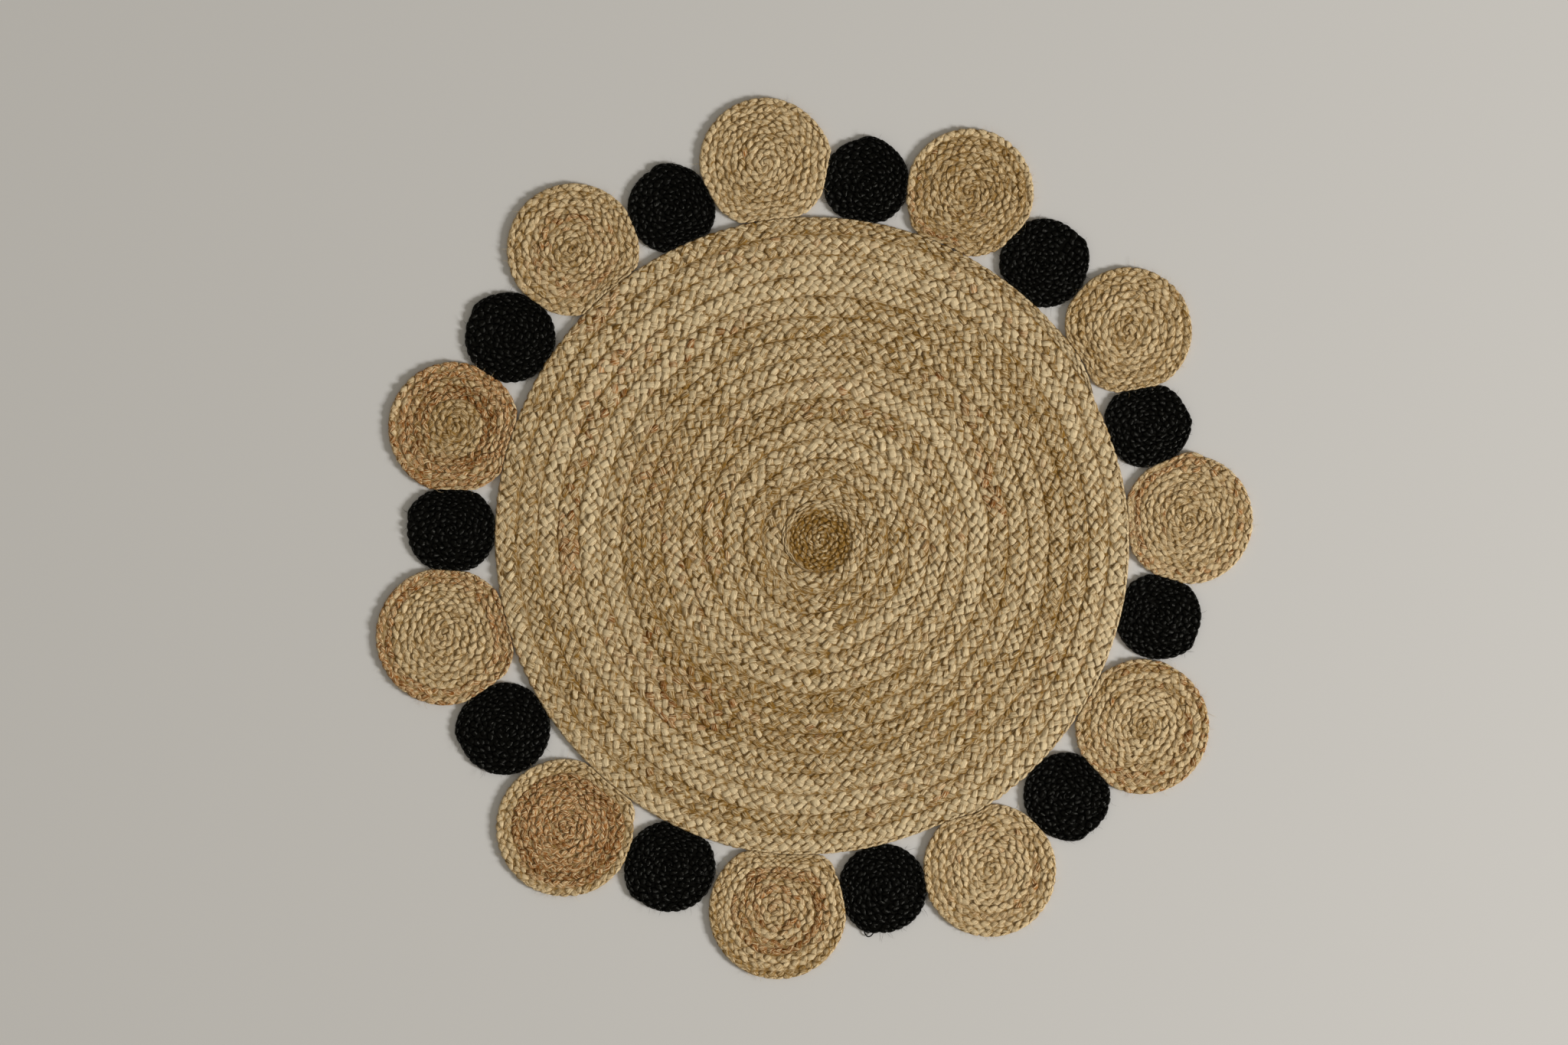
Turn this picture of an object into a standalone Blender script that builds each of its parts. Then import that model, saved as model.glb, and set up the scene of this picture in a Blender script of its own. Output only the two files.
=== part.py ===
"""Round jute rug: one large braided round inside a ring of small natural and black rounds.

Every round is one braid wound into a flat spiral and sewn to itself. Its solid has a flat underside,
a belly at the rim, and a top on which each turn of the braid stands up as a rib between two grooves.
The origin is the middle of the large round's underside, with +Z up. Units are metres.
"""

import math
from collections import namedtuple

import bmesh
import bpy

# The large round in the middle.
CENTRE_PITCH = 0.0276         # width of one turn of the wide braid
CENTRE_TURNS = 15.25          # turns before the last one, which is the rim
CENTRE_COIL = (0.0112, -0.0068)   # the spiral starts a little right of and below the rug's middle
CENTRE_END = 27               # degrees: where the braid's cut end is tucked in at the rim
CENTRE_THICK = 0.009
CENTRE_SWELL = 0.0077         # outer turns lie a little looser than inner ones, as a share of the radius
CENTRE_DRIFT = 0.011          # and looser still on one side
DRIFT_SIDE = 175              # degrees: the loose side
JOIN_ANGLE = 301              # degrees: where two lengths of braid are lapped in the rim
JOIN_STEP = 0.009             # how far the rim steps in at that lap
JOIN_FADE = 50                # degrees over which the rim recovers from it
EYE_RADIUS = 0.046            # the first turns are wound tighter and lie lower
EYE_DEPTH = 0.0025

# The small rounds of the ring.
SMALL_PITCH = 0.0115          # width of one turn of the narrow braid
NATURAL_THICK = 0.008
BLACK_THICK = 0.0075
END_BUMP = 0.0042             # how far a braid's tucked end stands out of a small round's rim

# Shared by every round.
GAP = 0.0005                  # clearance between two rounds that press on each other
GROOVE = 0.68                 # height of the stitched groove, as a share of the thickness
BELLY = 0.45                  # height of the widest point of the rim
NEAR = 0.2                    # rounds whose middles are nearer than this may touch
UNDERCUT = 0.0018             # how far the rim draws in from its belly to the floor
END_WIDTH = 0.5               # width left where the last turn is cut, as a share of the pitch
TAPER = 107                   # degrees over which the last turn narrows to its end
END_ROUND = 7                 # degrees taken by the rounded cut end itself
PRESS_POWER = 2.5             # how fast a dent in the rim fades towards the middle

Round = namedtuple("Round", "name angle distance radius coil_end turn tone")
Shape = namedtuple("Shape", "pitch thick ribs step eye")

# angle: degrees round the rug from +X. distance: middle of the rug to middle of the round, mm.
# radius: mm. coil_end: degrees, where the braid's end shows. turn: +1 winds outwards counter-clockwise.
# tone: sRGB of the yarn, 0 to 255.
NATURAL = (
    #     name          angle  distance radius coil_end turn  tone
    Round("natural_01", 97.3, 514, 89.0, -8, -1, (173, 146, 104)),
    Round("natural_02", 65.4, 516, 87.5, 200, -1, (170, 143, 103)),
    Round("natural_03", 33.0, 515, 86.5, 130, -1, (174, 147, 107)),
    Round("natural_04", 2.5, 514, 88.5, 75, -1, (178, 153, 113)),
    Round("natural_05", -30.1, 521, 91.5, 63, -1, (176, 149, 109)),
    Round("natural_06", -62.1, 517, 91.0, 80, -1, (178, 150, 106)),
    Round("natural_07", -95.3, 514, 94.0, 32, -1, (168, 137, 95)),
    Round("natural_08", -130.3, 523, 94.0, 4, -1, (165, 128, 82)),
    Round("natural_09", -164.7, 521, 94.0, -40, -1, (175, 147, 106)),
    Round("natural_10", 163.2, 512, 89.5, 250, -1, (169, 139, 98)),
    Round("natural_11", 129.9, 510, 90.5, 300, -1, (173, 145, 103)),
)
BLACK_TONE = (34, 32, 29)
BLACK = (
    #     name        angle  distance radius coil_end turn  tone
    Round("black_01", 81.4, 489, 59.5, 100, 1, BLACK_TONE),
    Round("black_02", 49.7, 489, 61.0, 40, 1, BLACK_TONE),
    Round("black_03", 18.4, 481, 59.0, 20, 1, BLACK_TONE),
    Round("black_04", -13.1, 485, 59.0, -30, 1, BLACK_TONE),
    Round("black_05", -45.6, 497, 59.5, -60, 1, BLACK_TONE),
    Round("black_06", -78.7, 491, 61.0, -95, 1, BLACK_TONE),
    Round("black_07", -113.3, 492, 62.5, -130, 1, BLACK_TONE),
    Round("black_08", -148.0, 497, 63.5, -160, 1, BLACK_TONE),
    Round("black_09", 179.0, 493, 61.0, 170, 1, BLACK_TONE),
    Round("black_10", 146.7, 494, 62.0, 150, 1, BLACK_TONE),
    Round("black_11", 113.3, 486, 60.5, 120, 1, BLACK_TONE),
)

# ribs: where along a turn's width its top lines run, as shares of the pitch. step: length of one facet.
# eye: radius of the lower middle, or 0.
CENTRE_SHAPE = Shape(CENTRE_PITCH, CENTRE_THICK, (0.3, 0.7), 0.032, EYE_RADIUS)
NATURAL_SHAPE = Shape(SMALL_PITCH, NATURAL_THICK, (0.5,), 0.0155, 0)
BLACK_SHAPE = Shape(SMALL_PITCH, BLACK_THICK, (0.5,), 0.014, 0)


def clear_scene():
    for found in list(bpy.data.objects):
        bpy.data.objects.remove(found, do_unlink=True)


def yarn(name, tone):
    """A matt material of this sRGB tone."""
    linear = [(part / 255) ** 2.2 for part in tone]
    made = bpy.data.materials.new(name)
    made.use_nodes = True
    surface = made.node_tree.nodes["Principled BSDF"]
    surface.inputs["Base Color"].default_value = (*linear, 1)
    surface.inputs["Roughness"].default_value = 0.9
    surface.inputs["Metallic"].default_value = 0
    made.diffuse_color = (*linear, 1)
    return made


def ease(share):
    """0 to 1 with level ends, held outside them."""
    held = min(max(share, 0), 1)
    return held * held * (3 - 2 * held)


def degrees_before_end(angle, coil_end, turn):
    """How many degrees of braid are left from this direction to its cut end, 0 to 360."""
    return (turn * (coil_end - math.degrees(angle))) % 360


def end_width(left):
    """Width of the last turn this many degrees before its cut end, as a share of the pitch."""
    cut = ease(left / END_ROUND)
    narrowing = END_WIDTH + (1 - END_WIDTH) * ease(left / TAPER)
    return cut * narrowing


class Coil:
    """A braid wound from the middle of one round to its rim, where the last turn tapers out."""

    def __init__(self, shape, turns, middle, coil_end, turn, outline):
        self.shape = shape
        self.turns = turns
        self.middle = middle
        self.coil_end = coil_end
        self.turn = turn
        self.outline = outline
        self.full = 2 * math.pi * turns

    def direction(self, wound):
        """Direction from the middle after winding through this angle."""
        return math.radians(self.coil_end) + self.turn * (wound - self.full)

    def plain_rim(self, angle):
        """Radius of the rim as the spiral alone would leave it."""
        left = degrees_before_end(angle, self.coil_end, self.turn)
        return self.shape.pitch * (self.turns - left / 360 + end_width(left))

    def rim(self, angle):
        """Radius of the rim as it really lies."""
        return self.outline(angle, self.plain_rim(angle))

    def place(self, wound, rib=0):
        """X and Y after winding this far, rib being the share of the pitch outside the inner groove."""
        angle = self.direction(wound)
        plain = self.shape.pitch * (wound / (2 * math.pi) + rib)
        if wound > self.full:
            plain = self.plain_rim(angle)
        elif wound > self.full - 2 * math.pi:
            inner = self.shape.pitch * wound / (2 * math.pi)
            plain = inner + rib * (self.plain_rim(angle) - inner)
        rim = self.plain_rim(angle)
        radius = plain + (self.rim(angle) - rim) * (plain / rim) ** PRESS_POWER
        return self.middle[0] + radius * math.cos(angle), self.middle[1] + radius * math.sin(angle)


def wound_angles(shape, first, last):
    """Angles along the spiral from first to last, one facet's length apart."""
    length = shape.pitch * (last ** 2 - first ** 2) / (4 * math.pi)
    count = max(round(length / shape.step), 8)
    return [math.sqrt(first ** 2 + (last ** 2 - first ** 2) * k / count) for k in range(count + 1)]


def lowered(shape, wound):
    """How far the turns in the eye lie below the others."""
    if not shape.eye:
        return 0
    radius = shape.pitch * wound / (2 * math.pi)
    return EYE_DEPTH * (1 - ease((radius - 0.85 * shape.eye) / (0.3 * shape.eye)))


def zipped(first, second):
    """Triangles between two lines of (angle, vertex), stepping along whichever is behind."""
    faces = []
    i = j = 0
    while i + 1 < len(first) or j + 1 < len(second):
        ahead = i + 1 < len(first) and (j + 1 == len(second) or first[i + 1][0] <= second[j + 1][0])
        corner = first[i + 1][1] if ahead else second[j + 1][1]
        face = (first[i][1], second[j][1], corner)
        i, j = (i + 1, j) if ahead else (i, j + 1)
        if len(set(face)) == 3:
            faces.append(face)
    return faces


def ribbed_top(coil, points):
    """Adds the top's points, and gives its faces and the vertices of the rim's belly."""
    shape = coil.shape
    turn = 2 * math.pi
    points.append((*coil.middle, shape.thick - lowered(shape, 0)))

    def add(wound, rib, height):
        points.append((*coil.place(wound, rib), height))
        return wound, len(points) - 1

    low = GROOVE * shape.thick
    inside = [add(a, 0, low - lowered(shape, a)) for a in wound_angles(shape, turn, coil.full)[:-1]]
    rim = [add(a, 0, BELLY * shape.thick) for a in wound_angles(shape, coil.full, coil.full + turn)[:-1]]
    start = (0, 0)
    end = rim[0]
    lines = [[start] + inside + [end]]
    for rib in shape.ribs:
        wound = wound_angles(shape, 0, coil.full)[1:-1]
        lines.append([start] + [add(a, rib, shape.thick - lowered(shape, a)) for a in wound] + [end])
    outer = [(a - turn, vertex) for a, vertex in inside + rim]
    lines.append(outer + [end])
    faces = []
    for first, second in zip(lines, lines[1:]):
        faces += zipped(first, second)
    return faces, [vertex for _, vertex in rim]


def rim_and_foot(coil, points, belly):
    """Adds the underside's points, drawn in a little from the belly, and gives the faces that close it."""
    foot = []
    for vertex in belly:
        x, y = (part - middle for part, middle in zip(points[vertex], coil.middle))
        share = 1 - UNDERCUT / math.hypot(x, y)
        foot.append(len(points))
        points.append((coil.middle[0] + share * x, coil.middle[1] + share * y, 0))
    under = len(points)
    points.append((*coil.middle, 0))
    faces = []
    for k, low in enumerate(foot):
        after = (k + 1) % len(foot)
        faces.append((belly[k], low, foot[after], belly[after]))
        faces.append((low, under, foot[after]))
    return faces


def round_mesh(name, coil):
    """One closed body: ribbed spiral top, rim with a belly, flat underside."""
    points = []
    faces, belly = ribbed_top(coil, points)
    faces += rim_and_foot(coil, points, belly)
    built = bmesh.new()
    corners = [built.verts.new(point) for point in points]
    for face in faces:
        built.faces.new([corners[vertex] for vertex in face])
    bmesh.ops.recalc_face_normals(built, faces=built.faces)
    mesh = bpy.data.meshes.new(name)
    built.to_mesh(mesh)
    built.free()
    return mesh


def add_round(name, coil, tone):
    mesh = round_mesh(name, coil)
    mesh.materials.append(yarn(name, tone))
    mesh.shade_smooth()
    mesh.set_sharp_from_angle(angle=math.radians(50))
    made = bpy.data.objects.new(name, mesh)
    bpy.context.collection.objects.link(made)
    return made


def middle_of(row):
    angle = math.radians(row.angle)
    return row.distance / 1000 * math.cos(angle), row.distance / 1000 * math.sin(angle)


def reach_to_centre(centre, middle, angle, most):
    """How far a small round may reach this way before it meets the large one."""
    near, far = 0, most
    for _ in range(24):
        tried = (near + far) / 2
        x = middle[0] + tried * math.cos(angle) - centre.middle[0]
        y = middle[1] + tried * math.sin(angle) - centre.middle[1]
        clear = math.hypot(x, y) > centre.rim(math.atan2(y, x)) + GAP
        near, far = (tried, far) if clear else (near, tried)
    return near


def reach_to_neighbour(middle, radius, other, other_radius, angle):
    """How far a small round may reach this way before the straight line where two rounds press."""
    apart = math.dist(middle, other)
    line = (apart ** 2 + radius ** 2 - other_radius ** 2) / (2 * apart) - GAP / 2
    towards = math.atan2(other[1] - middle[1], other[0] - middle[0])
    facing = math.cos(angle - towards)
    return line / facing if facing > 1e-3 else math.inf


def centre_outline(angle, plain):
    """The rim of the large round: its spiral, looser on one side, with a step in where braids are lapped."""
    looser = 1 + CENTRE_SWELL + CENTRE_DRIFT * math.cos(angle - math.radians(DRIFT_SIDE))
    past = (JOIN_ANGLE - math.degrees(angle)) % 360
    step = JOIN_STEP * ease(past / END_ROUND) * (1 - ease((past - END_ROUND) / JOIN_FADE))
    return plain * looser - step


def small_outline(row, neighbours, centre):
    """The rim of a small round: a circle with its braid's end, pressed flat by what it touches."""
    middle = middle_of(row)
    radius = row.radius / 1000

    def outline(angle, _):
        left = degrees_before_end(angle, row.coil_end, row.turn)
        bump = END_BUMP * ease(left / END_ROUND) * (1 - ease((left - END_ROUND) / 50))
        reach = reach_to_centre(centre, middle, angle, radius + bump)
        for other in neighbours:
            pressed = reach_to_neighbour(middle, radius, middle_of(other), other.radius / 1000, angle)
            reach = min(reach, pressed)
        return reach

    return outline


def build_rug():
    centre = Coil(CENTRE_SHAPE, CENTRE_TURNS, CENTRE_COIL, CENTRE_END, -1, centre_outline)
    add_round("centre_round", centre, (176, 152, 112))
    for rows, others, shape in ((NATURAL, BLACK, NATURAL_SHAPE), (BLACK, NATURAL, BLACK_SHAPE)):
        for row in rows:
            near = [other for other in others if math.dist(middle_of(row), middle_of(other)) < NEAR]
            outline = small_outline(row, near, centre)
            turns = row.radius / 1000 / shape.pitch - 0.5
            coil = Coil(shape, turns, middle_of(row), row.coil_end, row.turn, outline)
            add_round(row.name, coil, row.tone)


clear_scene()
build_rug()
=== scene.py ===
# %% [markdown]
# # A round jute rug, knob by knob
# The real rug is 23 flat coils of jute plait sewn into one mat: a large round wound from a wide plait
# of five strands, and a ring of eleven natural and eleven black rounds wound from a narrow plait of three.
# A disc with a bump map would give the same outline, but the knobs of the plait catch the light one
# by one and throw small shadows, so this lesson builds every knob that shows as a small closed surface.
# Each one is placed by the same spiral that winds the plait, with numpy doing whole coils at a time.

# %% Load the frame
from collections import namedtuple

import bpy
import numpy as np
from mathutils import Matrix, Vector


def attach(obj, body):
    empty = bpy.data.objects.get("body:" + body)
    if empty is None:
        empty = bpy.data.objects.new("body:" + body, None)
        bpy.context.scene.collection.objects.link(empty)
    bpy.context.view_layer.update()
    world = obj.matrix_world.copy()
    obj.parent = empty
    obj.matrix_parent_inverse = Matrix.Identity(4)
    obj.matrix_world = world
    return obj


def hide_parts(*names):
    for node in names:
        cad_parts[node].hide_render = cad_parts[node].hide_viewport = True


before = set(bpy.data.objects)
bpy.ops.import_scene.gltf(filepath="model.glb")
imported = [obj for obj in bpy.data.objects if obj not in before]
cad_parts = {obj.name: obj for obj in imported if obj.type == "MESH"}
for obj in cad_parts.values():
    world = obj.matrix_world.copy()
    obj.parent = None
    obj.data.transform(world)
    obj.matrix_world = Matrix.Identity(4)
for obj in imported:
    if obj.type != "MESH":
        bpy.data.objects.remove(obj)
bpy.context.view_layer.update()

# %% [markdown]
# ## Looking straight down
# The rug lies on a floor and is seen from right above it, so the camera needs no tilt. Its height
# follows from the lens: a strip of floor as wide as the picture has to fill the sensor. A long lens
# from far up is chosen, because a short one would show the rims' sides near the picture's edge.

# %% Camera
PICTURE = (2048, 1365)            # pixels
RUG_MIDDLE = (1061, 700)          # pixel where the large round's middle shows
PIXEL = 1.20 / 1146               # metres of floor for each pixel: the rug is 1.20 m and 1146 pixels across
LENS = 85
SENSOR = 36

camera_data = bpy.data.cameras.new("camera")
camera_data.lens = LENS
camera_data.sensor_width = SENSOR
camera = bpy.data.objects.new("camera", camera_data)
camera.location = (
    (PICTURE[0] / 2 - RUG_MIDDLE[0]) * PIXEL,
    (RUG_MIDDLE[1] - PICTURE[1] / 2) * PIXEL,
    PICTURE[0] * PIXEL * LENS / SENSOR,
)
bpy.context.collection.objects.link(camera)
bpy.context.scene.camera = camera
print("camera", round(camera.location.z, 2), "m above the floor")

# %% [markdown]
# ## Floor and light
# The floor is plain and pale, so that the black rounds and the gaps between the coils read clearly.
# One large soft lamp stands on the right, as a window would, because a plait needs light from the side
# to show its relief. It is far away, so that both sides of the rug get the same light. A pale, slightly
# warm room all round keeps the shadows open, and leaves them darkest deep between the knobs.

# %% Floor and lamp
FLOOR_TONE = (0.74, 0.72, 0.69)
FLOOR_ROUGHNESS = 0.85
FLOOR_HALF = 9                    # metres from the origin to each side
FLOOR_HEIGHT = -0.0003            # a hair under the rug's flat underside
WINDOW_PLACE = (9.8, -3.1, 5.4)
WINDOW_SIZE = 2.7
WINDOW_POWER = 1150               # watts
ROOM_TONE = (1.0, 0.95, 0.84, 1)
ROOM_STRENGTH = 0.285


def add_lamp(name, place, target, size, power):
    """A square soft lamp at place, turned to look at target."""
    data = bpy.data.lights.new(name, "AREA")
    data.size = size
    data.energy = power
    lamp = bpy.data.objects.new(name, data)
    lamp.location = place
    lamp.rotation_euler = (Vector(target) - Vector(place)).to_track_quat("-Z", "Y").to_euler()
    lamp.visible_camera = False
    bpy.context.collection.objects.link(lamp)
    return lamp


def add_floor(half, height):
    """A square of floor, half its side each way from the origin."""
    mesh = bpy.data.meshes.new("floor")
    corners = [(-half, -half, height), (half, -half, height), (half, half, height), (-half, half, height)]
    mesh.from_pydata(corners, [], [(0, 1, 2, 3)])
    floor = bpy.data.objects.new("floor", mesh)
    bpy.context.collection.objects.link(floor)
    paint = bpy.data.materials.new("floor_paint")
    paint.use_nodes = True
    surface = paint.node_tree.nodes["Principled BSDF"]
    surface.inputs["Base Color"].default_value = (*FLOOR_TONE, 1)
    surface.inputs["Roughness"].default_value = FLOOR_ROUGHNESS
    mesh.materials.append(paint)


add_floor(FLOOR_HALF, FLOOR_HEIGHT)
window = add_lamp("window", WINDOW_PLACE, (0, 0, 0), WINDOW_SIZE, WINDOW_POWER)
world = bpy.data.worlds.new("room")
world.use_nodes = True
world.node_tree.nodes["Background"].inputs["Color"].default_value = ROOM_TONE
world.node_tree.nodes["Background"].inputs["Strength"].default_value = ROOM_STRENGTH
bpy.context.scene.world = world
bpy.context.scene.view_settings.view_transform = "Standard"
print("window", round(window.location.length, 1), "m from the rug")

# %% [markdown]
# ## The plaits
# A flat plait of n strands shows n - 1 columns of knobs. In each column every knob leans the same way,
# and the next column leans the other way, which is the herringbone that the eye sees. A knob is the
# stretch where one strand passes over the others, so it is as wide as a strand and its two ends dive
# under its neighbours. These few sizes describe the plaits, also the fine one that starts the large round.

# %% Sizes of the plaits
# pitch: width of one turn. spacing: from knob to knob along a column. column: from column to column.
# slant: degrees between a knob and the row. length, width, depth: of one knob. All lengths in metres.
# camber: how far a turn's edges roll down. bed: height of the body under the knobs. Shares of the thickness.
# rough: how unevenly the plait is made, 1 for a careful hand. square: 1 for a round strand, less for a
# boxy one, more for a peaked one. sides: points round a knob. rings: how many rings along it.
SIZES = "strands pitch spacing column slant length width depth camber bed rough square sides rings"
Plait = namedtuple("Plait", SIZES)
WIDE = Plait(5, 0.0276, 0.0146, 0.0069, 35, 0.0196, 0.0118, 0.0045, 0.16, 0.66, 1.4, 1.1, 7, 4)
NARROW = Plait(3, 0.0103, 0.0134, 0.0049, 37, 0.0158, 0.0099, 0.0028, 0.12, 0.70, 1.4, 0.9, 7, 4)
BLACK_NARROW = Plait(3, 0.0111, 0.0118, 0.0056, 54, 0.0124, 0.0088, 0.0046, 0.16, 0.48, 1.5, 0.7, 7, 4)
FINE = Plait(3, 0.0085, 0.0100, 0.0042, 36, 0.0118, 0.0070, 0.0020, 0.12, 0.62, 1.4, 0.7, 6, 3)
STATIONS = {3: (-1, -0.72, 0, 0.72, 1), 4: (-1, -0.8, -0.34, 0.34, 0.8, 1)}
# where a knob's first tip, its rings and its last tip stand along it, for three rings and for four
for label, plait in (("wide", WIDE), ("narrow", NARROW), ("black", BLACK_NARROW), ("fine", FINE)):
    print(label, "plait:", plait.strands, "strands,", round(plait.pitch * 1000, 1), "mm a turn")

# %% [markdown]
# ## The rounds
# A round needs its middle, its radius, and where the plait's cut end shows at its rim. The ring is
# written round the rug by angle and distance, as a maker would lay it out on the floor. Some of the
# natural rounds have rust-coloured strands in part of their width, from one share of the radius to another,
# and the rust number is the share of the strands there that are so coloured.

# %% Table of the rounds
MIDDLE = (0.0112, -0.0068)        # middle of the large round
EYE_RADIUS = 0.043                # it starts with a fine plait, wound tight and lying lower
EYE_DEPTH = 0.0025
CENTRE_THICK = 0.009
NATURAL_THICK = 0.008
BLACK_THICK = 0.0075
CLOCKWISE, ANTICLOCKWISE = -1, 1  # which way the plait runs as it goes outwards

NATURAL = (
    # name          angle  mm out radius coil_end tone  rust from  to
    ("natural_01", 97.3, 514, 89.0, -8, 0.02, 0.16, 0.0, 0.3),
    ("natural_02", 65.4, 516, 87.5, 200, -0.01, 0.14, 0.0, 1.0),
    ("natural_03", 33.0, 515, 86.5, 130, 0.03, 0.14, 0.0, 1.0),
    ("natural_04", 2.5, 514, 88.5, 75, 0.26, 0.42, 0.7, 1.2),
    ("natural_05", -30.1, 521, 91.5, 63, 0.05, 0.44, 0.6, 1.2),
    ("natural_06", -62.1, 517, 91.0, 80, 0.09, 0.34, 0.3, 0.8),
    ("natural_07", -95.3, 514, 94.0, 32, 0.00, 0.46, -0.2, 0.7),
    ("natural_08", -130.3, 523, 94.0, 4, 0.06, 1.10, -0.2, 0.82),
    ("natural_09", -164.7, 521, 94.0, -40, 0.08, 0.60, 0.7, 1.2),
    ("natural_10", 163.2, 512, 89.5, 250, 0.04, 0.68, 0.4, 1.2),
    ("natural_11", 129.9, 510, 90.5, 300, 0.06, 0.36, 0.3, 0.7),
)
BLACK = (
    # name        angle  mm out radius coil_end
    ("black_01", 81.4, 489, 59.5, 100),
    ("black_02", 49.7, 489, 61.0, 40),
    ("black_03", 18.4, 481, 59.0, 20),
    ("black_04", -13.1, 485, 59.0, -30),
    ("black_05", -45.6, 497, 59.5, -60),
    ("black_06", -78.7, 491, 61.0, -95),
    ("black_07", -113.3, 492, 62.5, -130),
    ("black_08", -148.0, 497, 63.5, -160),
    ("black_09", 179.0, 493, 61.0, 170),
    ("black_10", 146.7, 494, 62.0, 150),
    ("black_11", 113.3, 486, 60.5, 120),
)
# hole: radius left free in the middle. true_at: radius from which the rows no longer sway. turns: how many.
# coil_end: degrees where the cut end shows. turn: which way it is wound. tone: paler, or browner if negative.
FIELDS = "name x y plait hole true_at turns coil_end turn thick tone rust rust_from rust_to"
Round = namedtuple("Round", FIELDS)


def small_round(name, angle, out, radius, coil_end, turn, thick, tone=0.0, rust=0.0, low=0.0, high=1.0):
    """A round of the ring: its middle from angle and distance, its turns from radius over pitch."""
    x, y = out / 1000 * np.cos(np.radians(angle)), out / 1000 * np.sin(np.radians(angle))
    plait = BLACK_NARROW if thick == BLACK_THICK else NARROW
    turns = radius / 1000 / plait.pitch - 0.5
    return Round(name, x, y, plait, 0, radius / 1000, turns, coil_end, turn, thick, tone, rust, low, high)


centre = Round(
    "centre_round", *MIDDLE, WIDE, hole=EYE_RADIUS, true_at=0.42, turns=15.25, coil_end=27, turn=CLOCKWISE,
    thick=CENTRE_THICK, tone=0.06, rust=0.16, rust_from=0.0, rust_to=1.0,
)
# the eye's browner tone is partly its own colour and partly painted shade of its sunken recess
eye = Round(
    "eye", *MIDDLE, FINE, hole=0, true_at=0.42, turns=EYE_RADIUS / FINE.pitch - 0.5, coil_end=100,
    turn=CLOCKWISE, thick=CENTRE_THICK - EYE_DEPTH, tone=-0.36, rust=0.1, rust_from=0.0, rust_to=1.0,
)
naturals = [small_round(*row[:5], CLOCKWISE, NATURAL_THICK, *row[5:]) for row in NATURAL]
blacks = [small_round(*row, ANTICLOCKWISE, BLACK_THICK) for row in BLACK]
print(1 + len(naturals) + len(blacks), "rounds")

# %% [markdown]
# ## Winding a coil
# Along the spiral the radius grows by one pitch for each turn, so a place on the plait is two numbers:
# how far the plait has been wound, as an angle, and how far across it we are, from 0 at its inner edge
# to 1 at its outer one. The first turn starts as a narrow tip, and the last one narrows to its cut end.

# %% Spiral
FULL_TURN = 2 * np.pi
START_WIDTH = 0.08     # share of the width at the tip that starts a coil
END_WIDTH = 0.5        # width left where the last turn is cut
TAPER = 107            # degrees over which the last turn narrows
END_ROUND = 7          # degrees taken by the cut end itself
WALK_STEPS = 4000      # places at which the plait's length is summed


def ease(share):
    """3x^2 - 2x^3 of the share held between 0 and 1: a step with level ends."""
    held = np.clip(share, 0, 1)
    return held * held * (3 - 2 * held)


def plain_rim(coil, angle):
    """Radius of the rim as the spiral leaves it: pitch times the turns there, the last one narrowed."""
    left = (coil.turn * (coil.coil_end - np.degrees(angle))) % 360
    width = ease(left / END_ROUND) * (END_WIDTH + (1 - END_WIDTH) * ease(left / TAPER))
    return coil.plait.pitch * (coil.turns - left / 360 + width)


def direction(coil, wound):
    """Angle from +X after winding this far."""
    return np.radians(coil.coil_end) + coil.turn * (wound - FULL_TURN * coil.turns)


def edges(coil, wound):
    """Plain radii of the plait's two edges: pitch * w / 2 pi, at least the hole, and one pitch more."""
    inner = np.maximum(coil.plait.pitch * wound / FULL_TURN, coil.hole)
    outer = coil.plait.pitch * (wound / FULL_TURN + 1)
    last = wound > FULL_TURN * (coil.turns - 1)
    return inner, np.where(last, plain_rim(coil, direction(coil, wound)), outer)


def walk(coil):
    """(angles wound, lengths walked) along the middle of the plait: the sum of its radius times each step."""
    first = FULL_TURN * (coil.hole / coil.plait.pitch - 1 + START_WIDTH)
    wound = np.linspace(first, FULL_TURN * coil.turns, WALK_STEPS)
    radius = np.mean(edges(coil, wound), axis=0)
    return wound, np.concatenate([[0], np.cumsum(radius[1:] * np.diff(wound))])


for coil in (centre, naturals[0], blacks[0]):
    print(coil.name, "takes", round(walk(coil)[1][-1], 2), "m of plait")

# %% [markdown]
# ## Rims pressed flat, rows that sway
# Where two rounds press on each other their rims are flat, and the dent fades towards the middle. The
# rims themselves are read from the frame, so the coils fill exactly the solids that they stand for.
# Inside the rim the rows sway a little, as rows sewn by hand do. They could be pushed by noise, but a few
# long sine waves are enough, and they are the same for neighbouring rows, which so stay side by side.

# %% Places on a coil
UNDERCUT = 0.0018      # how far the rim draws in at the floor
ON_FLOOR = 1e-5        # metres: a corner of the solid under this height stands on the floor
PRESS_POWER = 2.5      # how fast a dent in the rim fades towards the middle
WAVE_COUNT = 7
LONGEST_WAVE = 0.22    # metres
SHORTEST_SHARE = 0.33  # the shortest wave as a share of the longest
SWAY = 0.00055         # metres that each wave moves a row
SWAY_ENDS = 0.97       # share of true_at where the sway has died out
SWAY_POWER = 3         # how suddenly it does


def rim_of(coil):
    """The rim of the coil's solid, as (angles, radii) round the coil's middle."""
    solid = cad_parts[coil.name].data
    points = np.empty(len(solid.vertices) * 3, np.float32)
    solid.vertices.foreach_get("co", points)
    x, y, z = points.reshape(-1, 3).T.astype(float)
    radius = np.hypot(x - coil.x, y - coil.y)
    foot = (z < ON_FLOOR) & (radius > coil.plait.pitch)
    angle = np.arctan2(y - coil.y, x - coil.x)[foot]
    order = np.argsort(angle)
    return angle[order], radius[foot][order] + UNDERCUT


RIMS = {coil.name: rim_of(coil) for coil in [centre, *naturals, *blacks]}
RIMS["eye"] = (np.zeros(1), np.full(1, EYE_RADIUS))


def rim(coil, angle):
    """Radius of the rim in this direction."""
    angles, radii = RIMS[coil.name]
    return np.interp(angle, angles, radii, period=FULL_TURN)


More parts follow.
